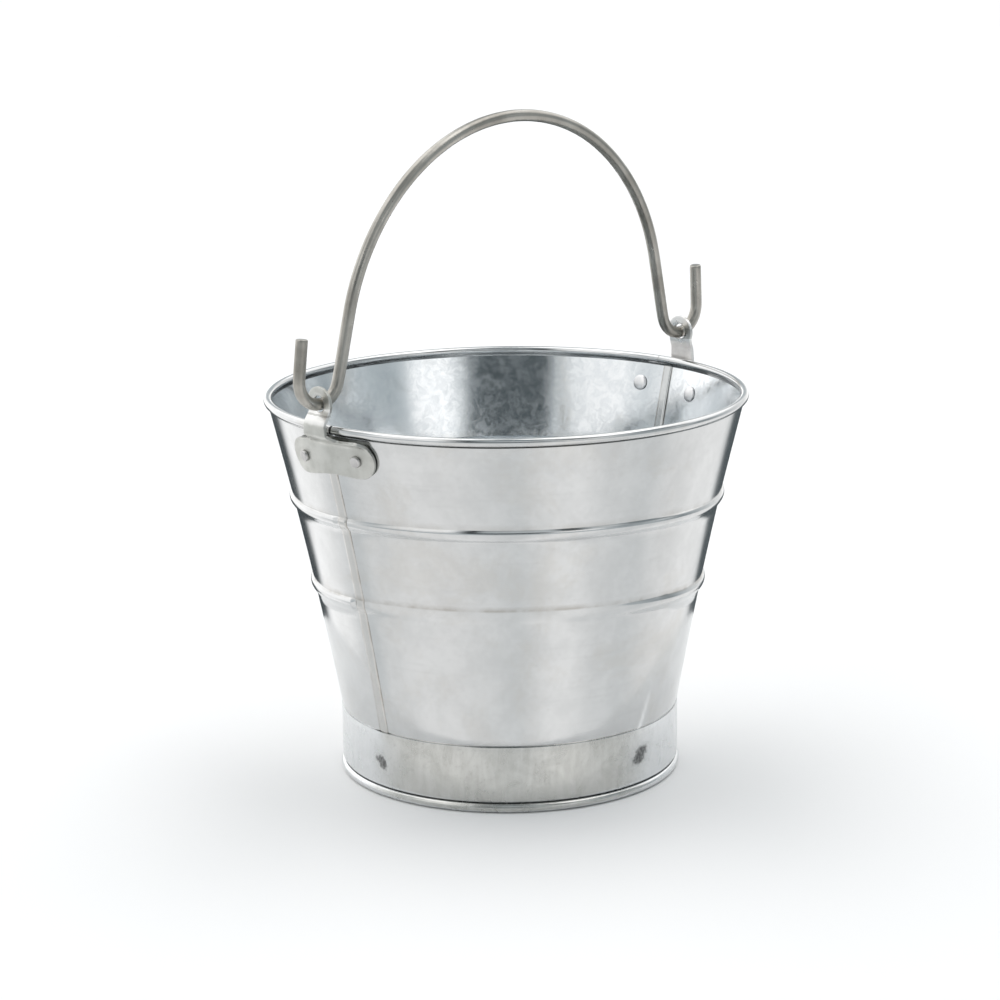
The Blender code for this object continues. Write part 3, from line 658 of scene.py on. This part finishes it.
def build_disc(material):
    top = DISC_TOP - 0.5 * DISC_SHEET
    side = DISC_RADIUS - 0.5 * DISC_SHEET
    midline = [(DISC_PIN, top), (0.25 * DISC_STEP_RADIUS, top)]
    midline += [(r, top) for r in np.linspace(0.4 * DISC_STEP_RADIUS, DISC_STEP_RADIUS, 6)]
    midline += [(DISC_STEP_RADIUS + t * DISC_STEP_RUN, top - DISC_STEP * smooth_step(t, 0.0, 1.0))
                for t in np.linspace(0.1, 1.0, 9)]
    midline += arc((side - DISC_BEND, top - DISC_STEP - DISC_BEND), DISC_BEND, 90.0, 0.0, 7)
    midline.append((side, DISC_FOOT))
    outline = thicken(midline, DISC_SHEET)
    outline[:, 0] = np.maximum(outline[:, 0], DISC_PIN)
    builder = Builder("bottom_pan")
    verts, faces, _ = sweep([ring_points(outline, a) for a in full_turn(DISC_SIDES)], True)
    rim = [i * len(outline) for i in range(DISC_SIDES)]
    faces.append(tuple(rim))
    faces.append(tuple(i + len(outline) - 1 for i in rim)[::-1])
    builder.add(verts, faces)
    builder.build([material], "bucket", ["bottom_disc"])


WELD_DEPTH = 0.00012
BAND_TUCK, BAND_TUCK_HEIGHT = 0.00008, 0.0022     # the band's top edge leans in against the wall
BAND_UNEVEN = 0.00006     # its wall wavers in and out by this, and its top edge up and down by twice this
BAND_LAP_LIFT = 0.00036   # it stands off over the seam at -X, where it passes two sheets,
BAND_LAP_HALF, BAND_LAP_TURN = 0.004, -0.02     # over this half width, from this many radians beside it,
BAND_LOOSE_FROM = 0.018   # and only above this height
HALO_WIDTH = 1.9          # the heated ring round a weld, in radii of the weld
BAND_FOOT = 0.0052        # the band's wall ends here,
BAND_NECK = (0.0002, 0.0043)     # and bends out by this at this height into its curl
CURL_HALF_STEP_DEG = 22.5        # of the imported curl, whose lowest face is flat
CURL_TURN_DEG = (108.0, 427.0)
CURL_EASE = 0.00005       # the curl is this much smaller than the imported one
BAND_SIDES = 480


def build_foot_band(material):
    half = 0.5 * SHEET
    centre_z = CURL_MID_RADIUS * math.cos(math.radians(CURL_HALF_STEP_DEG)) + half
    midline = [(BAND_RADIUS - half, z) for z in np.linspace(BAND_TOP, BAND_FOOT, 46)]
    curl = arc((CURL_CENTRE_RADIUS, centre_z + CURL_EASE), CURL_MID_RADIUS - CURL_EASE, *CURL_TURN_DEG, 36)
    midline += [(0.5 * (midline[-1][0] + curl[0][0]) + BAND_NECK[0], BAND_NECK[1])] + curl
    outline = thicken(midline, SHEET)
    count = len(outline)
    z = outline[:, 1]
    on_wall = (z > CURL_TOP).astype(float)
    high = np.array([smooth_step(v, BAND_LOOSE_FROM, BAND_TOP) for v in z])
    shut = BAND_TUCK * np.array([smooth_step(v, BAND_TOP - BAND_TUCK_HEIGHT, BAND_TOP) for v in z])
    sections, weld, halo = [], [], []
    for angle in full_turn(BAND_SIDES):
        dent, mark, glow = np.zeros((3, count))
        for weld_deg, weld_z, weld_radius, wider, slant in WELDS:
            turn = (angle - math.radians(weld_deg) + math.pi) % (2 * math.pi) - math.pi
            across = turn * BAND_RADIUS
            distance = np.hypot(across / wider, z - weld_z - slant * across) / weld_radius
            dent += WELD_DEPTH * np.exp(-distance ** 4)
            mark += np.exp(-distance ** 3)
            glow += np.exp(-(distance / HALO_WIDTH) ** 2)
        uneven = BAND_UNEVEN * noise.noise(Vector((5.0 * math.cos(angle), 5.0 * math.sin(angle), 3.0)))
        beside_lap = (angle - math.pi - BAND_LAP_TURN) * BAND_RADIUS
        lift = BAND_LAP_LIFT * math.exp(-(beside_lap / BAND_LAP_HALF) ** 2)
        section = outline.copy()
        section[:, 0] += (uneven + lift * high - dent - shut) * on_wall
        section[:, 1] += high * 2.0 * uneven
        sections.append(ring_points(section, angle))
        weld.append(mark * on_wall)
        halo.append(glow * on_wall)
    verts, faces, _ = sweep(sections, True)
    builder = Builder("foot_ring")
    builder.add(verts, faces, weld=np.concatenate(weld), halo=np.concatenate(halo))
    builder.build([material], "bucket", ["foot_band"])


# ---------------------------------------------------------------- ears and rivets
EAR_EDGE = 0.00028            # rounding of the stamped edges
EAR_CUT_STEP = 0.0011         # the plate is divided this finely so that it can bend,
EAR_HEIGHTS = (0.1390, 0.1760)    # between these heights
EAR_WIDTHS = (-0.0242, 0.0243)    # and between these places along the wall
EYE_WORN = (0.0036, 0.0050)   # the wire has polished the eye out to here
EAR_CROWN, EAR_CROWN_WAVES = 0.00012, 160.0    # slight unevenness of the plate, and how fine it is
# How each ear was bent and set by hand: outer face where the neck clears the roll and at the eye,
# heights of the bends, moves along the wall, turn and lift of the lobes, and lift of the eye
EAR_SETS = {
    "left": {"bulge": 0.1043, "eye_face": 0.1008, "bends": (0.1522, 0.1568, 0.1600, 0.1665),
             "shift": 0.0, "shear": 0.046, "tilt": 0.066, "rise": 0.0006, "lift": -0.0010},
    "right": {"bulge": 0.1064, "eye_face": 0.1055, "bends": (0.1522, 0.1580, 0.1628, 0.1672),
              "shift": -0.0003, "shear": -0.043, "tilt": 0.038, "rise": 0.0008, "lift": 0.0012}}


def ear_face_radius(z, ear):
    leave, bulge, bulge_end, eye = ear["bends"]
    on_wall = wall_radius(min(z, bulge)) + (EAR_STANDOFF + EAR_SHEET) / math.cos(wall_tilt(leave))
    radius = on_wall + (ear["bulge"] - on_wall) * smooth_step(z, leave, bulge)
    return radius + (ear["eye_face"] - radius) * smooth_step(z, bulge_end, eye)


def set_on_side(side, along, z):
    """Where a point of the straight ear goes when the ear is riveted on a little askew."""
    ear = EAR_SETS[side]
    high = smooth_step(z, EAR_SET_FROM, EAR_SET_TO)
    raised = (1.0 - high) * (ear["tilt"] * along + ear["rise"]) + high * ear["lift"]
    return along + ear["shift"] + ear["shear"] * (HINGE_Z - z), z + raised


def bend_ear_point(flat, side):
    ear = EAR_SETS[side]
    along, z = set_on_side(side, flat[1], flat[2])
    flat = (flat[0], along, z)
    depth = EAR_SHEET - flat[0]
    probe = 0.0002
    slope = (ear_face_radius(z + probe, ear) - ear_face_radius(z - probe, ear)) / (2.0 * probe)
    length = math.hypot(1.0, slope)
    radius = ear_face_radius(z, ear) - depth / length
    z = flat[2] + depth * slope / length
    turn = flat[1] / EAR_REFERENCE_RADIUS
    wrap = 1.0 - smooth_step(flat[2], ear["bends"][0], ear["bends"][3])
    return Vector((radius * (wrap * math.cos(turn) + 1.0 - wrap),
                   wrap * radius * math.sin(turn) + (1.0 - wrap) * flat[1], z))


def ear_outline():
    lobe_low, lobe_top = EAR_LOBE_Z - EAR_LOBE_RADIUS, EAR_LOBE_Z + EAR_LOBE_RADIUS
    right = [(EAR_LOBE_OFFSET * k / 12.0, lobe_low + 0.5 * EAR_WAIST * (1.0 + math.cos(math.pi * k / 12.0)))
             for k in range(1, 12)]
    right += arc((EAR_LOBE_OFFSET, EAR_LOBE_Z), EAR_LOBE_RADIUS, -90.0, 90.0, 32)
    right += arc((EAR_NECK_HALF + EAR_FILLET, lobe_top + EAR_FILLET), EAR_FILLET, 270.0, 180.0, 12)
    join_deg = math.degrees(math.acos(EAR_NECK_HALF / EYE_RADIUS))
    right += arc((0.0, HINGE_Z), EYE_RADIUS, -join_deg, 90.0, 24)
    left = [(-s, z) for s, z in right[-2::-1]]
    return [(0.0, lobe_low + EAR_WAIST)] + right + left


def build_ear(side, turn, seed, material):
    bm = bmesh.new()
    loops = [ear_outline(), corners((0.0, HINGE_Z), EYE_HOLE_RADIUS, EYE_HOLE_SIDES)]
    for loop in loops:
        verts = [bm.verts.new((0.0, s, z)) for s, z in loop]
        for index, vert in enumerate(verts):
            bm.edges.new((vert, verts[(index + 1) % len(verts)]))
    bmesh.ops.triangle_fill(bm, edges=bm.edges, use_beauty=True)
    raised = bmesh.ops.extrude_face_region(bm, geom=bm.faces)["geom"]
    top = [item for item in raised if isinstance(item, bmesh.types.BMVert)]
    bmesh.ops.translate(bm, vec=(EAR_SHEET, 0.0, 0.0), verts=top)
    bmesh.ops.dissolve_limit(bm, angle_limit=math.radians(1.0), verts=bm.verts, edges=bm.edges)
    rims = [e for e in bm.edges if len(e.link_faces) == 2 and e.calc_face_angle() > math.radians(60.0)]
    bmesh.ops.bevel(bm, geom=rims, offset=EAR_EDGE, segments=3, profile=0.6, affect="EDGES")
    lines = [((0.0, 0.0, z), (0.0, 0.0, 1.0)) for z in np.arange(*EAR_HEIGHTS, EAR_CUT_STEP)]
    lines += [((0.0, s, 0.0), (0.0, 1.0, 0.0)) for s in np.arange(*EAR_WIDTHS, EAR_CUT_STEP)]
    for point, normal in lines:
        geom = list(bm.verts) + list(bm.edges) + list(bm.faces)
        bmesh.ops.bisect_plane(bm, geom=geom, dist=1e-6, plane_co=point, plane_no=normal)
    bmesh.ops.triangulate(bm, faces=[f for f in bm.faces if len(f.verts) > 4])
    bm.verts.index_update()
    wear = []
    for vert in bm.verts:
        edge = smooth_step(abs(vert.co.x - 0.5 * EAR_SHEET), 0.30 * EAR_SHEET, 0.48 * EAR_SHEET)
        hole = math.hypot(vert.co.y, vert.co.z - HINGE_Z)
        wear.append(max(0.25 * edge, 1.0 - smooth_step(hole, *EYE_WORN)))
        place = Vector((vert.co.y * EAR_CROWN_WAVES, vert.co.z * EAR_CROWN_WAVES, seed))
        crown = EAR_CROWN * noise.noise(place)
        vert.co = bend_ear_point(vert.co, side) + Vector((crown, 0.0, 0.0))
    builder = Builder("ear_plate_" + side)
    builder.add([vert.co for vert in bm.verts], [[vert.index for vert in face.verts] for face in bm.faces],
                wear=wear)
    bm.free()
    builder.build([material], "bucket", ["ear_" + side], 38.0, turn)


# Rivets, measured along their axis from the wall's outer face: where the head inside and the
# hammered tail outside begin, how high they are, and the shank between them
RIVET_HEAD_AT, RIVET_HEAD_HEIGHT = -0.0008, 0.0011
RIVET_TAIL_AT = 0.00215
RIVET_SHANK_RADIUS = 0.0013
RIVET_SIDES = 36
RIVET_RAGGED = 0.05           # how far the hammered tail is from round, as a share of its radius
# Section of the tail: height above the ear, and how far inside its full radius
RIVET_TAIL = ((0.0001, 0.0), (0.00070, 0.00004), (0.0010, 0.00022), (0.00114, 0.00055), (0.00114, 0.0011))


def rivet_profile():
    """(along the axis, radius) from the middle of the head to the middle of the tail."""
    head, tail, pin = RIVET_HEAD_AT, RIVET_TAIL_AT, 0.00001
    profile = [(head - RIVET_HEAD_HEIGHT, pin)]
    for angle in np.radians(range(10, 86, 8)):
        dome = RIVET_HEAD_HEIGHT * math.cos(angle) ** 0.75
        profile.append((head - dome, RIVET_HEAD_RADIUS * math.sin(angle)))
    profile += [(head - 0.00006, RIVET_HEAD_RADIUS), (head + 0.0001, RIVET_HEAD_RADIUS - 0.0001)]
    profile += [(head + 0.0001, RIVET_SHANK_RADIUS), (tail - 0.0001, RIVET_SHANK_RADIUS)]
    profile.append((tail - 0.0001, RIVET_TAIL_RADIUS - 0.0001))
    profile += [(tail + up, RIVET_TAIL_RADIUS - inset) for up, inset in RIVET_TAIL]
    return np.array(profile + [(tail + 0.00106, 0.0003), (tail + 0.00106, pin)])


def build_rivet(where, angle, z, seed, material):
    points = rivet_profile()
    sections = []
    for turn in full_turn(RIVET_SIDES):
        bump = noise.noise(Vector((1.6 * math.cos(turn), 1.6 * math.sin(turn), seed)))
        radius = points[:, 1] * np.where(points[:, 0] > 0.001, 1.0 + RIVET_RAGGED * bump, 1.0)
        sections.append(np.stack([points[:, 0], radius * math.cos(turn), radius * math.sin(turn)], 1))
    count = len(points)
    faces = []
    for ring in range(RIVET_SIDES):
        a, b = ring * count, ((ring + 1) % RIVET_SIDES) * count
        faces += [(a + i, a + i + 1, b + i + 1, b + i) for i in range(count - 1)]
    faces.append(tuple(r * count for r in range(RIVET_SIDES)))
    faces.append(tuple(r * count + count - 1 for r in range(RIVET_SIDES))[::-1])
    foot = Vector((wall_radius(z) * math.cos(angle), wall_radius(z) * math.sin(angle), z))
    turned = np.array(Matrix.Rotation(angle, 3, "Z") @ Matrix.Rotation(wall_tilt(z), 3, "Y"))
    verts = np.concatenate(sections) @ turned.T + np.array(foot)
    # painted highlight on the inside head
    bright = np.where(points[:, 0] < RIVET_HEAD_AT + 0.0002, RIVET_HEAD_HIGHLIGHT, 0.0)
    builder = Builder("rivet_pin_" + where)
    builder.add(verts, faces, bright=np.tile(bright, RIVET_SIDES))
    builder.build([material], "bucket", ["rivet_" + where], 35.0)


# ---------------------------------------------------------------- bail
def bail_half(lean_deg, leg_length, hook_radius, end_length):
    """Centre line from the crown down one leg, round the hook and up to the free end."""
    half = arc((0.0, BAIL_ARCH_CENTRE_Z), BAIL_ARCH_RADIUS, 90.0, BAIL_ARCH_END_DEG, 70)
    lean = math.radians(lean_deg)
    down = np.array([math.sin(lean), -math.cos(lean)])
    start = np.array(half[-1])
    half += [tuple(start + down * leg_length * t) for t in np.linspace(0, 1, 16)[1:]]
    centre = np.array(half[-1]) + hook_radius * np.array([math.cos(lean), math.sin(lean)])
    half += arc(centre, hook_radius, 180.0 + lean_deg, 360.0 + BAIL_END_DEG, 36)[1:]
    end_lean = math.radians(BAIL_END_DEG)
    up = np.array([-math.sin(end_lean), math.cos(end_lean)])
    start = np.array(half[-1])
    half += [tuple(start + up * end_length * t) for t in np.linspace(0, 1, 14)[1:]]
    half = np.array(half)
    for _ in range(6):
        half[1:-1] = 0.5 * half[1:-1] + 0.25 * (half[:-2] + half[2:])
    return half


def bail_path():
    left, right = [bail_half(*BAIL_SIDES[side]) * [side, 1.0] for side in (-1.0, 1.0)]
    return np.vstack([left[:0:-1], right])


BAIL_WOBBLE, BAIL_WOBBLE_WAVES = 0.0002, 24.0     # how far the wire strays from one plane
BAIL_SIDES_ROUND = 32
BAIL_CHAMFER = 0.00045
# Rings of a cut end: how far out in chamfers, and share of the wire's radius
BAIL_END = ((-1.0, 1.0), (-0.4, 0.965), (0.0, 0.86), (0.0, 0.3))


def build_bail(material):
    path = bail_path()
    tangent = np.gradient(path, axis=0)
    tangent /= np.linalg.norm(tangent, axis=1)[:, None]
    turns = full_turn(BAIL_SIDES_ROUND)
    across = np.array([0.0, 1.0, 0.0])
    rows = []
    last = len(path) - 1
    for index, (point, along) in enumerate(zip(path, tangent)):
        place = Vector((point[0] * BAIL_WOBBLE_WAVES, 5.0, point[1] * BAIL_WOBBLE_WAVES))
        centre = np.array([point[0], BAIL_WOBBLE * noise.noise(place), point[1]])
        forward = np.array([along[0], 0.0, along[1]])
        side = np.cross(forward, across)
        out, steps = forward, ((0.0, 1.0),)
        if index == 0:
            out, steps = -forward, BAIL_END[::-1]
        elif index == last:
            steps = BAIL_END
        for push, factor in steps:
            around = np.cos(turns)[:, None] * side + np.sin(turns)[:, None] * across
            rows.append(centre + out * push * BAIL_CHAMFER + BAIL_WIRE_RADIUS * factor * around)
    verts, faces, _ = sweep(rows, False)
    turned = np.array(Matrix.Rotation(math.radians(BAIL_TILT_DEG), 3, "X"))
    verts = (verts + [BAIL_SHIFT, 0.0, 0.0]) @ turned.T + [0.0, 0.0, HINGE_Z]
    builder = Builder("bail_wire")
    builder.add(verts, faces)
    builder.build([material], "bail", ["bail"], 50.0)


# ---------------------------------------------------------------- studio
# Brightness of the studio by angle from the camera's side in degrees, positive to the camera's right:
# the sweep seen below the horizon, the low walls, the walls, and the lamps above them in two layers
LOW_LIGHT = (
    (-180, 0.10), (-152, 0.07), (-148, 0.9), (-144, 1.35), (-122, 1.22), (-106, 0.90), (-98, 0.78),
    (-88, 0.95), (-60, 1.05), (-35, 1.02), (-12, 0.94), (8, 0.88), (16, 0.96), (28, 1.10), (42, 1.10),
    (54, 0.95), (82, 0.88), (100, 1.0), (122, 1.15), (142, 1.12), (147, 0.9), (151, 0.12), (180, 0.10))
HORIZON_LIGHT = (
    (-180, 1.6), (-95, 1.3), (-80, 0.8), (-70, 0.60), (-30, 0.65), (56, 0.60), (66, 0.50), (80, 0.60),
    (104, 0.35), (120, 0.7), (150, 1.1), (180, 1.4))
MIDDLE_LIGHT = (
    (-180, 0.55), (-168, 0.6), (-160, 1.4), (-150, 1.5), (-128, 1.35), (-112, 1.45), (-95, 1.0),
    (-78, 0.75), (-62, 1.05), (-44, 0.98), (-33, 0.88), (-27, 0.74), (-22, 0.09), (11, 0.08), (18, 0.15),
    (25, 0.85), (31, 1.22), (47, 1.15), (54, 0.6), (62, 0.42), (80, 0.55), (92, 0.80), (104, 0.34),
    (116, 0.6), (140, 0.9), (160, 1.1), (168, 0.6), (180, 0.55))
TOP_LIGHT = (
    (-180, 0.5), (-172, 0.6), (-165, 1.7), (-110, 1.5), (-88, 0.7), (-78, 0.6), (-68, 1.2), (-32, 1.3),
    (-27, 0.5), (-24, 0.03), (-18, 0.03), (-14, 0.55), (-6, 0.6), (24, 0.7), (29, 0.5), (33, 0.03),
    (41, 0.03), (46, 0.6), (60, 0.8), (74, 0.35), (98, 0.32), (110, 1.3), (150, 1.6), (165, 1.7),
    (172, 0.6), (180, 0.5))
OVERHEAD_LIGHT = (
    (-180, 0.5), (-172, 0.6), (-165, 1.9), (-80, 2.0), (-56, 1.2), (-34, 0.30), (30, 0.28), (50, 1.3),
    (64, 2.1), (165, 1.9), (172, 0.6), (180, 0.5))
LAYERS = (LOW_LIGHT, HORIZON_LIGHT, MIDDLE_LIGHT, TOP_LIGHT, OVERHEAD_LIGHT)
# Sines of the heights above the horizon where one layer runs into the next
LAYER_SPANS = ((-0.17, -0.12), (0.10, 0.16), (0.34, 0.44), (0.72, 0.82))
LIGHT_SCALE = 2.2             # the brightest level that the tables can hold
PAPER_LIGHT = 1.02            # the backdrop that the camera sees


SHADE_TINT = (-0.18, 0.0, 0.09)     # added to red, green and blue where there is no light


def light_colour(level):
    """Shadow in the studio is slightly blue, and its lamps are neutral."""
    shade = max(0.0, 1.0 - level)
    tint = [1.0 + added * shade for added in SHADE_TINT]
    return [level * c / LIGHT_SCALE for c in tint] + [1.0]


def stops_from(table):
    return [((a + 180.0) / 360.0, light_colour(level)) for a, level in table]


def build_world():
    world = bpy.data.worlds.new("studio")
    bpy.context.scene.world = world
    n = Nodes(world, "Generated")
    back = math.radians(-TOWARDS_CAMERA_DEG)
    turned = n.node("VectorRotate", {"Vector": n.coords, "Angle": back}, rotation_type="Z_AXIS")
    # After the turn +X points at the camera, and +Y to the camera's right.
    x, y, z = n.parts(turned.outputs["Vector"])
    around = n.plus(n.math("DIVIDE", n.math("ARCTAN2", y, x), 2.0 * math.pi), 0.5)
    studio, *above = [n.ramp(around, stops_from(table)) for table in LAYERS]
    for span, layer in zip(LAYER_SPANS, above):
        studio = n.mix(n.band(z, *span), studio, layer)
    light = n.node("Background", {"Color": studio, "Strength": LIGHT_SCALE}).outputs[0]
    paper = n.node("Background", {"Color": (1.0, 1.0, 1.0, 1.0), "Strength": PAPER_LIGHT}).outputs[0]
    seen = n.node("LightPath", {}).outputs["Is Camera Ray"]
    both = n.node("MixShader", {0: seen, 1: light, 2: paper}).outputs[0]
    n.link(both, n.tree.nodes["World Output"].inputs["Surface"])


FLOOR_NEAR = 0.175        # radius of the part of the floor that the metal mirrors
FLOOR_BEHIND = 0.075      # its centre lies this far behind the bucket, seen from the camera
FLOOR_FAR = 4.0
FLOOR_DEPTH = 0.0002      # just under the surface that the bucket stands on


def build_floor():
    n = Material("pale_floor")
    cloud = n.cloud(3.0, 2.0)
    paper = n.finish(Base_Color=n.mix(cloud, (0.94, 0.94, 0.94), (0.96, 0.96, 0.96)), Roughness=0.9,
                     Specular_IOR_Level=0.1)
    towards = math.radians(TOWARDS_CAMERA_DEG)
    centre = Vector((-math.cos(towards), -math.sin(towards), 0.0)) * FLOOR_BEHIND
    for name, inner, outer in (("floor_near", 0.0, FLOOR_NEAR), ("floor_far", FLOOR_NEAR, FLOOR_FAR)):
        bm = bmesh.new()
        bmesh.ops.create_circle(bm, cap_ends=inner == 0.0, segments=128, radius=outer)
        if inner > 0.0:
            bmesh.ops.create_circle(bm, cap_ends=False, segments=128, radius=inner)
            bmesh.ops.bridge_loops(bm, edges=bm.edges)
        bmesh.ops.recalc_face_normals(bm, faces=bm.faces)
        mesh = bpy.data.meshes.new(name)
        bm.to_mesh(mesh)
        bm.free()
        mesh.materials.append(paper)
        floor = bpy.data.objects.new(name, mesh)
        floor.location = centre - Vector((0.0, 0.0, FLOOR_DEPTH))
        floor.visible_glossy = inner == 0.0
        bpy.context.scene.collection.objects.link(floor)


def build_camera():
    data = bpy.data.cameras.new("camera")
    data.lens = CAMERA_LENS_MM
    data.sensor_width = CAMERA_SENSOR_MM
    camera = bpy.data.objects.new("camera", data)
    turn = (Matrix.Rotation(math.radians(CAMERA_HEADING_DEG), 4, "Z")
            @ Matrix.Rotation(math.radians(90.0 - CAMERA_PITCH_DEG), 4, "X")
            @ Matrix.Rotation(math.radians(CAMERA_ROLL_DEG), 4, "Z"))
    camera.matrix_world = Matrix.Translation(CAMERA_PLACE) @ turn
    bpy.context.scene.collection.objects.link(camera)
    bpy.context.scene.camera = camera


def main():
    outside = zinc_outside()
    inside = zinc_inside("zinc_inside", (0.80, 0.83, 0.85), (0.89, 0.91, 0.92))
    bottom = zinc_inside("zinc_bottom", (0.36, 0.38, 0.39), (0.50, 0.52, 0.53))
    # The right ear's zinc is painted far lighter than the left's: painted light on the side that catches
    # it.
    ears = {"left": plate_zinc("ear_zinc_left", (0.46, 0.465, 0.435), (0.56, 0.565, 0.535), 0.40,
                               EAR_PAINTED_LIGHT["left"]),
            "right": plate_zinc("ear_zinc_right_painted_light", (0.82, 0.79, 0.77), (0.98, 0.96, 0.94), 0.36,
                                EAR_PAINTED_LIGHT["right"])}
    rivet = plate_zinc("rivet_metal", (0.50, 0.49, 0.485), (0.62, 0.612, 0.605), 0.36)
    bail = wire_steel("bail_steel", (0.30, 0.285, 0.255), (0.46, 0.445, 0.41), 0.30)
    hoop = wire_steel("rim_hoop_steel", (0.18, 0.18, 0.18), (0.30, 0.30, 0.30), 0.45)
    build_panel("rear", 0.0, 3.0, outside, inside)
    build_panel("front", math.pi, 11.0, outside, inside)
    build_rim_wire(hoop)
    build_disc(bottom)
    build_foot_band(foot_zinc())
    for side, turn, ends in (("right", 0.0, ("rear", "front")), ("left", math.pi, ("front", "rear"))):
        build_ear(side, turn, 2.0 + turn, ears[side])
        for end, offset in zip(ends, (RIVET_OFFSET, -RIVET_OFFSET)):
            along, z = set_on_side(side, offset, RIVET_Z)
            build_rivet(side + "_" + end, turn + along / EAR_REFERENCE_RADIUS, z, 4.0 + turn, rivet)
    build_bail(bail)
    build_world()
    build_floor()
    build_camera()
    bpy.context.scene.view_settings.view_transform = "Standard"


main()
